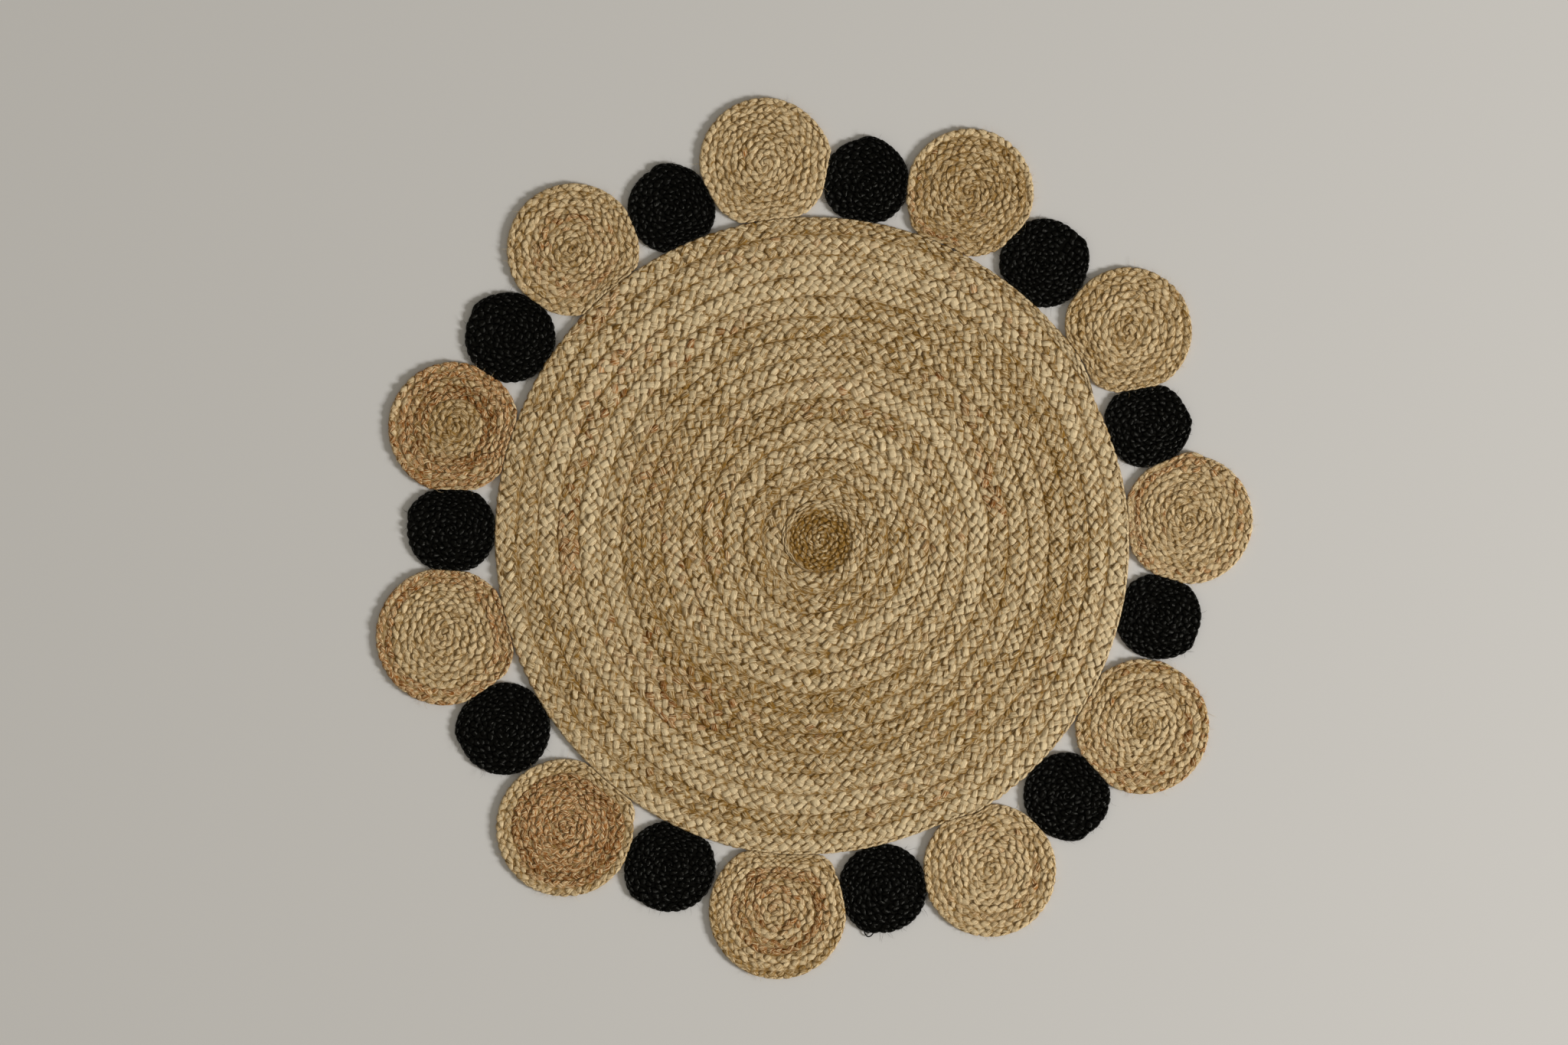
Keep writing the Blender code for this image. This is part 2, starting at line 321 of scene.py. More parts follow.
def waves(count, longest):
    """Wave numbers along X and Y and phases of a few waves, between the shortest and the longest."""
    random = np.random.default_rng(7)
    heading = random.uniform(0, FULL_TURN, count)
    number = FULL_TURN / (longest * random.uniform(SHORTEST_SHARE, 1, count))
    return number * np.cos(heading), number * np.sin(heading), random.uniform(0, FULL_TURN, (2, count))


WAVES = waves(WAVE_COUNT, LONGEST_WAVE)


def sway(x, y):
    """Sideways push in X and Y: the sum of SWAY * sin(a x + b y + phase) over the waves."""
    a, b, phase = WAVES
    run = x[..., None] * a + y[..., None] * b
    return (SWAY * np.sin(run + p).sum(axis=-1) for p in phase)


def place(coil, wound, across):
    """X and Y on the plait: the plain radius between its edges, pressed to fit the rim, then swayed."""
    angle = direction(coil, wound)
    inner, outer = edges(coil, wound)
    edge = plain_rim(coil, angle)
    plain = np.maximum(inner + across * (outer - inner), 0)
    radius = plain + (rim(coil, angle) - edge) * (plain / edge) ** PRESS_POWER
    x, y = coil.x + radius * np.cos(angle), coil.y + radius * np.sin(angle)
    free = 1 - np.clip(radius / (SWAY_ENDS * coil.true_at), 0, 1) ** SWAY_POWER
    push_x, push_y = sway(x, y)
    return x + free * push_x, y + free * push_y


for coil in (centre, naturals[0], blacks[0]):
    print(coil.name, "reaches", round(RIMS[coil.name][1].max() * 1000, 1), "mm from its middle")

# %% [markdown]
# ## Across one turn
# The plait is cambered: its middle stands up, and its two edges roll down into the sewn groove. At the
# edge each strand turns back, so nothing reaches past it. A soft limit does both: places across the
# turn run on unchanged to seven eighths of the half width and then crowd together at the edge.

# %% Camber and edge
STRAIGHT = 0.88        # share of the half width before the edge begins
CAMBER_POWER = 2.5


def held_in(across, edge):
    """u = 2a - 1 kept under edge: s + (e - s) * tanh((|u| - s) / (e - s)) past s, as a place from 0 to 1."""
    offset = 2 * across - 1
    room = edge - STRAIGHT
    past = STRAIGHT + room * np.tanh((np.abs(offset) - STRAIGHT) / room)
    return 0.5 + 0.5 * np.sign(offset) * np.where(np.abs(offset) > STRAIGHT, past, np.abs(offset))


def camber(coil, across):
    """Drop at this place across a turn: |2a - 1|^2.5 of the camber, so mostly the edges roll down."""
    return coil.plait.camber * coil.thick * np.abs(2 * across - 1) ** CAMBER_POWER


print("the wide plait's edges lie", round(camber(centre, 1) * 1000, 2), "mm under its middle")

# %% [markdown]
# ## Meshes from arrays
# Every piece is a set of points, four-cornered faces and three-cornered faces. `foreach_set` hands them
# to Blender in one go, which is many times faster than adding faces one by one. If the enclosed volume
# comes out negative, the faces point inwards, and all of them are turned round.

# %% Mesh helper


def enclosed(points, triangles):
    """Signed volume: a sixth of the sum of a . (b x c) over the triangles."""
    a, b, c = (points[triangles[:, k]] for k in range(3))
    return np.einsum("ij,ij->", a, np.cross(b, c)) / 6


def add_piece(name, points, quads, triangles, quad_uv, triangle_uv, yarn, material):
    """A smooth mesh object. yarn is (tone, rust, crown) at each point, which the material reads."""
    split = np.concatenate([quads[:, [0, 1, 2]], quads[:, [0, 2, 3]], triangles])
    if enclosed(points - points.mean(axis=0), split) < 0:
        quads, quad_uv = quads[:, ::-1], quad_uv[:, ::-1]
        triangles, triangle_uv = triangles[:, ::-1], triangle_uv[:, ::-1]
    mesh = bpy.data.meshes.new(name)
    mesh.vertices.add(len(points))
    mesh.vertices.foreach_set("co", points.astype(np.float32).ravel())
    corners = np.concatenate([quads.ravel(), triangles.ravel()])
    starts = np.concatenate([np.arange(len(quads)) * 4, len(quads) * 4 + np.arange(len(triangles)) * 3])
    mesh.loops.add(len(corners))
    mesh.loops.foreach_set("vertex_index", corners.astype(np.int32))
    mesh.polygons.add(len(starts))
    mesh.polygons.foreach_set("loop_start", starts.astype(np.int32))
    mesh.update(calc_edges=True)
    mesh.shade_smooth()
    uv = np.concatenate([quad_uv.reshape(-1, 2), triangle_uv.reshape(-1, 2)])
    mesh.uv_layers.new(name="strand").data.foreach_set("uv", uv.astype(np.float32).ravel())
    stored = mesh.attributes.new("yarn", "FLOAT_VECTOR", "POINT")
    stored.data.foreach_set("vector", yarn.astype(np.float32).ravel())
    mesh.materials.append(material)
    made = bpy.data.objects.new(name, mesh)
    bpy.context.collection.objects.link(made)
    return made


print("a corner cut off a unit cube encloses", round(enclosed(np.eye(3), np.array([[0, 1, 2]])), 3))

# %% [markdown]
# ## Many small closed tubes at once
# A knob, a strand's turn round the rim and a stray fibre are all the same thing: a short tube along a
# line, closed to a point at both ends. The line is given as stations, each with a sideways vector and an
# upward vector that already have the tube's half width and half depth. Arrays hold all the tubes of a
# coil at once: the first axis counts tubes, the second stations, the third the points of a ring.

# %% Tubes
UPWARDS = 0.055        # how far a ring's points are moved towards its top, as a share of a turn


def tube_faces(count, stations, sides):
    """Faces of count tubes. Point 0 of a tube is its first tip, then come the rings, then its last tip."""
    ring = np.arange(sides)
    here = 1 + np.arange(stations - 1)[:, None] * sides + ring
    after = 1 + np.arange(stations - 1)[:, None] * sides + (ring + 1) % sides
    quads = np.stack([here, after, after + sides, here + sides], axis=-1).reshape(-1, 4)
    last = 1 + (stations - 1) * sides
    tip = np.zeros(sides, int)
    start = np.stack([tip, 1 + (ring + 1) % sides, 1 + ring], axis=-1)
    end = np.stack([tip + last + sides, last + ring, last + (ring + 1) % sides], axis=-1)
    triangles = np.concatenate([start, end])
    shift = np.arange(count)[:, None, None] * (stations * sides + 2)
    return (quads + shift).reshape(-1, 4), (triangles + shift).reshape(-1, 3)


def tube_uv(along, around, stations, sides):
    """UV of the same faces: u along each tube and v around it, both in metres. v starts underneath."""
    ring = np.arange(sides)
    u = along[:, :, None] + np.zeros(sides)
    v = around[:, None, None] * ring / sides + np.zeros((1, stations, 1))
    v_next = around[:, None, None] * (ring + 1) / sides + np.zeros((1, stations, 1))
    first = np.stack([u[:, :-1], v[:, :-1]], axis=-1)
    second = np.stack([u[:, :-1], v_next[:, :-1]], axis=-1)
    third = np.stack([u[:, 1:], v_next[:, 1:]], axis=-1)
    fourth = np.stack([u[:, 1:], v[:, 1:]], axis=-1)
    quads = np.stack([first, second, third, fourth], axis=-2).reshape(-1, 4, 2)
    start = np.stack([second[:, 0], second[:, 0], first[:, 0]], axis=-2)
    end = np.stack([fourth[:, -1], fourth[:, -1], third[:, -1]], axis=-2)
    return quads, np.concatenate([start, end], axis=1).reshape(-1, 3, 2)


def ring_turns(sides):
    """Angles of a ring's points from straight down, spread so that more of them lie on the upper side."""
    share = np.arange(sides) / sides
    return -np.pi / 2 + FULL_TURN * (share + UPWARDS * np.sin(FULL_TURN * share))


def tubes(line, side, up, tips, sides, square=0.9):
    """Points of the tubes: tip, rings, tip. A ring is line + side * cos^square + up * sin^square."""
    turn = ring_turns(sides)
    across, rise = (np.sign(part) * np.abs(part) ** square for part in (np.cos(turn), np.sin(turn)))
    rings = line[:, :, None] + side[:, :, None] * across[:, None] + up[:, :, None] * rise[:, None]
    count = len(line)
    return np.concatenate([tips[:, :1], rings.reshape(count, -1, 3), tips[:, 1:]], axis=1)


print("a knob of the wide plait has", sum(map(len, tube_faces(1, WIDE.rings, WIDE.sides))), "faces")

# %% [markdown]
# ## Strands, and what drifts along them
# Jute is a plant fibre, so one strand is straw-coloured for half a metre and brownish for the next. The
# colour belongs to the strand, not to the knob: it wanders slowly along each strand, and the knobs show
# it wherever their strand comes to the top. This needs to know which strand a knob belongs to. A strand
# moving outwards is on top in every second column, and one moving inwards in the columns between.

# %% Which strand, and its wandering values
KNOT_SPREAD = 0.6      # spread of the random values that a wandering one passes through


def strand_of(plait, step, column):
    """Strand on top at a knob: step less half the columns crossed, counted round the plait."""
    columns = plait.strands - 1
    outwards = step - column // 2
    inwards = step - (columns - 1 - column) // 2 - columns // 2
    return np.where(column % 2 == 0, outwards, inwards) % plait.strands


def wander(random, strands, length, reach):
    """A smooth random value between about -1 and 1 for each strand at any place along the plait."""
    knots = random.normal(0, KNOT_SPREAD, (strands, int(length / reach) + 3))

    def value(strand, along):
        at = np.clip(along / reach, 0, knots.shape[1] - 2)
        low = at.astype(int)
        share = ease(at - low)
        return knots[strand, low] * (1 - share) + knots[strand, low + 1] * share

    return value


print("strands along a column of the wide plait:", strand_of(WIDE, np.arange(6), np.zeros(6, int)))

# %% [markdown]
# ## Where the knobs sit
# Along the plait the knobs of a column are one spacing apart, and every second column is half a spacing
# on, because that is where its strands come to the top. No two knobs of a handmade plait are the same,
# so the place, the fatness and the lean of each one vary a little. Part of that drifts slowly along the
# plait, as the pull of the hand and the bundle of fibres do, and part is new for each knob. A few knobs
# are missing in the tight start of the large round.

# %% Places of the knobs
Drift = namedtuple("Drift", "amount reach")      # how much something drifts, and over how many metres
BUNCHING = Drift(0.25, 0.06)      # knobs crowd together and spread, in spacings
FATTENING = Drift(0.08, 0.11)     # a strand is thicker here and thinner there
JITTER = 0.07                     # what each knob adds to both
LEAN_JITTER = 8                   # degrees
SIDE_JITTER = 0.0005              # metres
FIRST_AT = 0.25                   # the first knob, in spacings from the plait's start
LAST_AT = 0.3                     # the last one, in spacings from its end
MISSING = 0.03                    # share of the knobs that the fine plait lacks
Spots = namedtuple("Spots", "total column strand along wound radius middle fat lean")


def knob_spots(coil, random):
    """A knob at each (step, and a half if its column is odd) * spacing along, and across by its column."""
    plait = coil.plait
    columns = plait.strands - 1
    wounds, lengths = walk(coil)
    total = lengths[-1]
    steps = np.arange(int(total / plait.spacing))
    step, column = (a.ravel() for a in np.meshgrid(steps, np.arange(columns), indexing="ij"))
    kept = random.uniform(0, 1, len(step)) > MISSING * (plait is FINE)
    step, column = step[kept], column[kept]
    count = len(step)
    bunch = BUNCHING.amount * wander(random, 1, total, BUNCHING.reach)(0, step * plait.spacing)
    jitter = random.normal(0, JITTER * plait.rough, count)
    along = (step + 0.5 * (column % 2) + FIRST_AT + bunch + jitter) * plait.spacing
    along = np.minimum(along, total - LAST_AT * plait.spacing)
    strand = strand_of(plait, step, column)
    fat = 1 + FATTENING.amount * wander(random, plait.strands, total, FATTENING.reach)(strand, along)
    fat = fat + random.normal(0, JITTER * plait.rough, count)
    lean = np.radians(plait.slant + random.normal(0, LEAN_JITTER * plait.rough, count))
    lean = lean * np.where(column % 2 == 0, 1, -1)
    middle = plait.pitch / 2 + (column - (columns - 1) / 2) * plait.column
    middle = middle + random.normal(0, SIDE_JITTER, count)
    wound = np.interp(along, lengths, wounds)
    radius = np.mean(edges(coil, wound), axis=0)
    return Spots(total, column, strand, along, wound, radius, middle, fat, lean)


def share_out(coil, spots):
    """How far out each knob lies, as a share of the way to the rim."""
    return spots.radius / (coil.plait.pitch * (coil.turns + 0.5))


places = int(walk(centre)[1][-1] / WIDE.spacing) * (WIDE.strands - 1)
print("the large round has room for", places, "knobs")

# %% [markdown]
# ## The shape of a knob
# Seen from above a knob is a slanted oval. Along it the tube's radius follows (1 - |x|^3.6)^0.6 for x
# from -1 to 1, nearly full until close to its ends, and its line sinks by x^2 so that both ends pass
# under the neighbours, as a real strand does. At the edge of the plait the outer end has no neighbour
# to pass under, so it sinks less and rolls over the edge with the camber. The outer turns of the
# natural rounds are looser, so their knobs stand fuller.

# %% Shape of the knobs
CREST = 0.93           # height of a knob's top, as a share of the thickness
CREST_JITTER = 0.032
DIVE = 1.4             # how far the tips sink, in half depths of the strand
EDGE_DIVE = 0.35       # the same for the outer tips at the plait's edge
EDGE_DRAW = 0.6        # how much less those reach outwards
ROLL = 0.14            # how much a knob rolls over to one side
LOOSE = 0.3            # how much fuller the knobs of the loose outer turns are
LOOSE_FROM = 0.68      # share of the way out where those turns begin
LOOSE_OVER = 0.2


def swelling(x):
    """Share of a knob's full width at x: (1 - |x|^3.6)^0.6."""
    return (1 - np.abs(x) ** 3.6) ** 0.6


def half_length(plait, fat):
    """Half the length of a knob, which grows half as fast as its width."""
    return plait.length / 2 * (0.5 + 0.5 * fat)


def knob_tubes(coil, spots, random):
    """Tubes on a straight plait: ahead h x cos(lean), aside middle + h x sin(lean), up crest - dive x^2."""
    plait = coil.plait
    count = len(spots.along)
    x = np.array(STATIONS[plait.rings])
    swell = swelling(x)[1:-1]
    loose = 1 + LOOSE * (plait is NARROW) * ease((share_out(coil, spots) - LOOSE_FROM) / LOOSE_OVER)
    reach = half_length(plait, spots.fat)[:, None]
    lean_cos, lean_sin = np.cos(spots.lean)[:, None], np.sin(spots.lean)[:, None]
    outermost = (spots.column == 0) | (spots.column == plait.strands - 2)
    at_edge = outermost[:, None] & (x < 0)
    ahead = reach * lean_cos * x
    aside = spots.middle[:, None] + reach * lean_sin * x * (1 - EDGE_DRAW * at_edge * np.abs(x))
    depth = plait.depth / 2 * spots.fat * loose
    uneven = random.normal(0, CREST_JITTER * plait.rough, count) * loose
    crest = coil.thick * np.minimum(CREST + uneven, 1) - depth
    height = crest[:, None] - depth[:, None] * np.where(at_edge, EDGE_DIVE, DIVE) * x ** 2
    line = np.stack([ahead, aside, height], axis=-1)
    width = plait.width / 2 * spots.fat[:, None] * swell
    roll = random.normal(0, ROLL * plait.rough, count)[:, None]
    side = np.stack([-lean_sin * width, lean_cos * width, roll * width], axis=-1)
    up = np.stack([0 * width, 0 * width, depth[:, None] * swell], axis=-1)
    return tubes(line[:, 1:-1], side, up, line[:, [0, -1]], plait.sides, plait.square)


print("halfway to its tip a knob has", round(swelling(0.5), 2), "of its full width")

# %% [markdown]
# ## Winding the knobs up
# So far the plait is straight. Winding it up bends every knob along with it: what lies ahead becomes an
# angle, what lies aside a place across the turn, held in by the soft limit so that neighbouring turns
# only just meet, sometimes more and sometimes less. The camber then lowers the edges, and the whole
# plait tilts slowly to one side and the other, as sewn rows do.

# %% From the straight plait to the coil
LOWEST = 0.0006        # metres over the floor that no knob goes below
MEETING = Drift(0.06, 0.05)
MEETS_AT = 1.04        # where the knobs of a turn end, in half widths of it
MEETS_LEAST = 0.94
MEETS_JITTER = 0.03
TILTING = Drift(0.09, 0.3)        # shares of the thickness


def wound_up(coil, spots, points, random):
    """Points of the knobs on the coil, at angle wound + ahead / radius, and their places across the turn."""
    radius = np.maximum(spots.radius, coil.plait.pitch / 4)[:, None]
    meets = MEETS_AT + MEETING.amount * wander(random, 1, spots.total, MEETING.reach)(0, spots.along)
    meets = meets + random.uniform(-MEETS_JITTER, MEETS_JITTER, len(meets))
    across = held_in(points[..., 1] / coil.plait.pitch, np.maximum(meets, MEETS_LEAST)[:, None])
    x, y = place(coil, spots.wound[:, None] + points[..., 0] / radius, across)
    tilt = TILTING.amount * coil.thick * wander(random, 1, spots.total, TILTING.reach)(0, spots.along)
    lift = points[..., 2] - camber(coil, across) + tilt[:, None] * (2 * across - 1)
    return np.stack([x, y, np.clip(lift, LOWEST, coil.thick)], axis=-1), across


print("no knob lies under", round(LOWEST * 1000, 1), "mm or over", round(CENTRE_THICK * 1000, 1), "mm")

# %% [markdown]
# ## Colour of the knobs
# Each point gets three numbers for the material: a tone, a share of rust and a crown. The tone and the
# rust drift along the strands and along the whole plait, and differ a little from knob to knob. In the
# wide plait two ribs, a third of the way out from its middle, get a painted highlight, while its edges
# get painted shade, brown in the groove. The natural rounds start a little browner than they end. Where
# another bundle of jute was worked in, a patch is paler or redder, and painted shade darkens the turns
# in and just round the large round's sunken eye. The crown is 1 on top of a knob and falls to 0 at its
# tips and underneath, and the material paints a highlight where it is high and shade where it is low.

# %% Tone, rust and crown
TABLE_TONE = 3                    # a tone of 1 in the tables is this much in the yarn
STRAND_TONE = Drift(0.8, 0.16)
ROW_TONE = Drift(0.95, 0.4)
KNOB_TONE = 0.5
WIDE_TONE = 1.25                  # the tones of the wide plait differ this much more
BROWN_START = 0.6                 # how much browner a natural round starts
BROWN_OVER = 0.3                  # share of the way out over which that fades
ROW_RUST = Drift(0.35, 0.12)
STRAND_RUST = Drift(0.35, 0.3)
KNOB_RUST = 0.16
BAND_EDGE = 0.1                   # how softly a rusty band ends, as a share of the way out
RUST_GAIN, RUST_START, RUST_SOFT = 1.9, 0.25, 0.5
CROWN_FALL = 0.45                 # how much of the crown is lost towards a knob's tips, which so take more painted shade
# the ribs are a painted highlight, and the darker edges are painted shade in the groove
RIB_AT, RIB_HALF, RIB_TONE = 0.34, 0.14, 1.5
DIP_HALF, DIP_TONE = 0.12, 0.4
EDGE_AT, EDGE_TONE = 0.5, 0.9
PATCHES = (
    # x, y, half length, half width, tone added, rust added
    (-0.0165, 0.309, 0.060, 0.006, 1.9, 0.0),
    (-0.033, -0.0205, 0.010, 0.006, 0.9, 0.0),
    (-0.26, 0.02, 0.15, 0.25, -0.1, 0.22),
    (-0.16, -0.24, 0.06, 0.05, -0.2, 0.25),
    # painted shade in the sunken eye and just round it
    (*MIDDLE, 0.052, 0.052, -0.6, 0.0),
    (*MIDDLE, 0.012, 0.012, -0.6, 0.0),
)


def rib_highlight_groove_shade(across):
    """Painted light across a wide turn: two pale ribs, exp(-u^2), a dip between, edges in painted shade."""
    offset = np.abs(2 * across - 1)
    rib = np.exp(-((offset - RIB_AT) / RIB_HALF) ** 2)
    dip = np.exp(-(offset / DIP_HALF) ** 2)
    return RIB_TONE * rib - DIP_TONE * dip - EDGE_TONE * ease((offset - EDGE_AT) / (1 - EDGE_AT))


def knob_tones(coil, spots, random):
    """Tone of each knob: what drifts along its strand and its row, its own share and the round's tone."""
    plait, total, along = coil.plait, spots.total, spots.along
    tone = STRAND_TONE.amount * wander(random, plait.strands, total, STRAND_TONE.reach)(spots.strand, along)
    tone = tone + random.normal(0, KNOB_TONE, len(along))
    tone = tone + ROW_TONE.amount * wander(random, 1, total, ROW_TONE.reach)(0, along)
    tone = tone * (WIDE_TONE if plait is WIDE else 1) + coil.tone * TABLE_TONE
    return tone - BROWN_START * (plait is NARROW) * (1 - ease(share_out(coil, spots) / BROWN_OVER))


def knob_batches(coil, spots, random):
    """How rusty the yarn of each knob is by nature, about 0: drifting along row and strand, and its own."""
    plait, total, along = coil.plait, spots.total, spots.along
    batch = ROW_RUST.amount * wander(random, 1, total, ROW_RUST.reach)(0, along)
    batch = batch + random.normal(0, KNOB_RUST, len(along))
    strands = wander(random, plait.strands, total, STRAND_RUST.reach)(spots.strand, along)
    return batch + STRAND_RUST.amount * strands


def patched(tone, batch, x, y):
    """Both with each patch added, times exp(-(dx / half length)^4 - (dy / half width)^4)."""
    for x_mid, y_mid, half_x, half_y, more_tone, more_rust in PATCHES:
        inside = np.exp(-((x - x_mid) / half_x) ** 4 - ((y - y_mid) / half_y) ** 4)
        tone = tone + more_tone * inside
        batch = batch + more_rust * inside
    return tone, batch


def knob_yarn(coil, spots, points, across, random):
    """(tone, rust, crown) of every point. Crown: swelling * (1 - fall x^2) * ((1 + sin angle) / 2)^2."""
    tone = knob_tones(coil, spots, random)
    batch = knob_batches(coil, spots, random)
    tone, batch = patched(tone, batch, *points[:, :, :2].mean(axis=1).T)
    out = share_out(coil, spots)
    band = ease((out - coil.rust_from) / BAND_EDGE + 0.5) * ease((coil.rust_to - out) / BAND_EDGE + 0.5)
    rust = ease((batch + RUST_GAIN * (band * coil.rust - 0.5) + RUST_START) / RUST_SOFT)
    # the crown sets the painted highlight on top and the painted shade at the tips and underneath
    x = np.array(STATIONS[coil.plait.rings])
    ridge = (swelling(x) * (1 - CROWN_FALL * x ** 2))[1:-1, None]
    upper = (0.5 + 0.5 * np.sin(ring_turns(coil.plait.sides))) ** 2
    crown = np.concatenate([[0], (ridge * upper).ravel(), [0]])
    tones = tone[:, None] + rib_highlight_groove_shade(across) * (coil.plait is WIDE)
    return np.stack(np.broadcast_arrays(tones, rust[:, None], crown[None]), axis=-1)


print("tone added on a rib", round(rib_highlight_groove_shade(0.5 + RIB_AT / 2), 2), "and at an edge", round(rib_highlight_groove_shade(1), 2))

# %% [markdown]
# ## All knobs of a coil
# The four steps follow each other here. The UV map of a knob lets the streaks run along it. Every knob
# starts at another place of the same long streaks, so that no two of them look alike.

# %% Knobs of one coil
STREAKS = 3            # metres of streaks that the tubes start in
SNUG = 0.9             # a knob's way round, as a share of a circle as wide


def knobs(coil, random):
    """Tubes for all knobs of a coil: points, faces, UV and yarn values."""
    plait = coil.plait
    spots = knob_spots(coil, random)
    straight = knob_tubes(coil, spots, random)
    points, across = wound_up(coil, spots, straight, random)
    yarn = knob_yarn(coil, spots, points, across, random)
    count = len(points)
    quads, triangles = tube_faces(count, plait.rings, plait.sides)
    ahead = half_length(plait, spots.fat)[:, None] * np.array(STATIONS[plait.rings])[1:-1]
    along_uv = random.uniform(0, STREAKS, count)[:, None] + ahead
    uv = tube_uv(along_uv, np.pi * plait.width * SNUG * spots.fat, plait.rings, plait.sides)
    return points, quads, triangles, *uv, yarn


# %% [markdown]
# ## The cloth under the knobs
# Under the knobs lie the strands that pass below, and between two turns lies the sewn groove. Little of
# that shows, so one flat body carries it: a disc on the floor with the same spiral ribs, a little lower
# than the knobs. It is a grid of two parameters, the direction round the middle and the share of the way
# out, closed at its middle, rolled over at the rim and closed again underneath.

# %% Body of one coil
GROOVE = 0.03          # how much lower the body is in the groove, as a share of the thickness
LAST_TURN = 0.2        # share of that drop all over the last turn
TOP_INSET = 0.0016     # metres that the top's last sixth draws in towards the rim
SIDE_ROWS = ((0.30, 0.0009), (0.12, 0.0013), (0.0, 0.0022))
# rows down the side: height as a share of the thickness, and metres in from the rim
UNDER_ROWS = 7
# crowns of the body's top, side and underside: the lower the crown, the more painted crevice shade
BED_CROWN, SIDE_CROWN, UNDER_CROWN = 0.25, 0.0, 0.7


def body_rows(coil, angle, samples):
    """Radius, height and crown of each row of the disc. On top, height = bed - groove * |2a - 1|^2."""
    plait = coil.plait
    edge, outline = plain_rim(coil, angle), rim(coil, angle)
    share = np.linspace(0, 1, int((coil.turns + 1) * samples) + 1)[1:]
    plain = share[:, None] * edge
    radius = plain + (outline - edge) * share[:, None] ** PRESS_POWER
    wound = (coil.turn * (angle - np.radians(coil.coil_end)) / FULL_TURN + coil.turns) % 1
    across = (plain / plait.pitch - wound) % 1
    last = plain > plait.pitch * (coil.turns - (1 - (wound - coil.turns) % 1))
    top = coil.thick * (plait.bed - GROOVE * np.where(last, LAST_TURN, np.abs(2 * across - 1) ** 2))
    top = np.where(plain < coil.hole, eye.thick * FINE.bed, top)
    inset = TOP_INSET * np.clip(share[:, None] * 6 - 5, 0, 1)
    rows = [(radius - inset, top, np.full_like(radius, BED_CROWN))]
    for height, back in SIDE_ROWS:
        row = (outline - back)[None]
        rows.append((row, np.full_like(row, height * coil.thick), np.full_like(row, SIDE_CROWN)))
    under = row * np.linspace(1, 0, UNDER_ROWS + 2)[1:-1, None]
    rows.append((under, np.zeros_like(under), np.full_like(under, UNDER_CROWN)))
    return [np.concatenate(part) for part in zip(*rows)]


def body(coil, spokes, samples):
    """The disc under the knobs: its rows joined round and round, and closed at its two middles."""
    angle = np.arange(spokes) / spokes * FULL_TURN
    radius, height, crown = body_rows(coil, angle, samples)
    rings = len(radius)
    x, y = coil.x + radius * np.cos(angle), coil.y + radius * np.sin(angle)
    points = np.stack([x, y, height], axis=-1).reshape(-1, 3)
    points = np.concatenate([points, [[coil.x, coil.y, height[0].mean()], [coil.x, coil.y, 0]]])
    spoke = np.arange(spokes)
    beside = (spoke + 1) % spokes
    here, after = (np.arange(rings - 1)[:, None] * spokes + k for k in (spoke, beside))
    quads = np.stack([here, after, after + spokes, here + spokes], axis=-1).reshape(-1, 4)
    high, low = np.full(spokes, rings * spokes), np.full(spokes, rings * spokes + 1)
    foot = (rings - 1) * spokes
    cap = np.stack([high, beside, spoke], axis=-1)
    base = np.stack([low, foot + spoke, foot + beside], axis=-1)
    triangles = np.concatenate([cap, base])
    turned = np.stack([spoke, spoke + 1, spoke + 1, spoke], axis=-1) * FULL_TURN / spokes
    turned = np.tile(turned, (rings - 1, 1))
    out = np.concatenate([radius.ravel(), [0, 0]])
    quad_uv = np.stack([turned * out[quads[:, :1]], out[quads]], axis=-1)
    triangle_uv = np.stack([0 * out[triangles], out[triangles]], axis=-1)
    crown = np.concatenate([crown.ravel(), [BED_CROWN, UNDER_CROWN]])
    within = np.concatenate([(radius < coil.hole).ravel(), [coil.hole > 0, False]])
    tone = np.where(within, eye.tone * TABLE_TONE, coil.tone * TABLE_TONE)
    return points, quads, triangles, quad_uv, triangle_uv, np.stack([tone, 0 * crown, crown], axis=-1)


print("a black round's body has", len(body(blacks[0], 48, 3)[1]), "faces of four corners")

# %% [markdown]
# ## Round the rim
# At the rim every strand turns back: it comes up from below, rolls round the edge and goes inwards over
# the top. From the side these turns are all that one sees of the rug, and from above they give the rim
# its scalloped edge. Each is a half ring in the plane across the plait, leaning along it.

# %% Rim turns of one coil
OVER, UNDER = 105, -85            # degrees at which a half ring starts on top and ends below
TURN_STATIONS = 6
TURN_SWELL = np.array([0.85, 1, 1, 0.85])
TURN_WIDTH, TURN_DEPTH = 0.98, 0.86     # of a turning strand, as shares of a knob's
TURN_LEAN = 0.55                  # how far it runs along the rim, in widths of a knob each way
TURN_PLAY = 0.00015               # metres by which the half rings are slimmer than the rim
TURN_OUT = 0.0004                 # metres by which they stand further out
TURN_UV = 0.009                   # metres of streaks along one of them
TURN_JITTER = 0.06                # how unevenly they are spread, in spacings
TURN_TONE, TURN_TONE_SPREAD = 0.1, 0.4
REACHES_RIM = 0.95                # a rusty band that ends past this share of the way colours the rim too
TURN_RUST_SOFT = 0.3
RIM_STEPS = 400                   # places at which the rim's length is summed


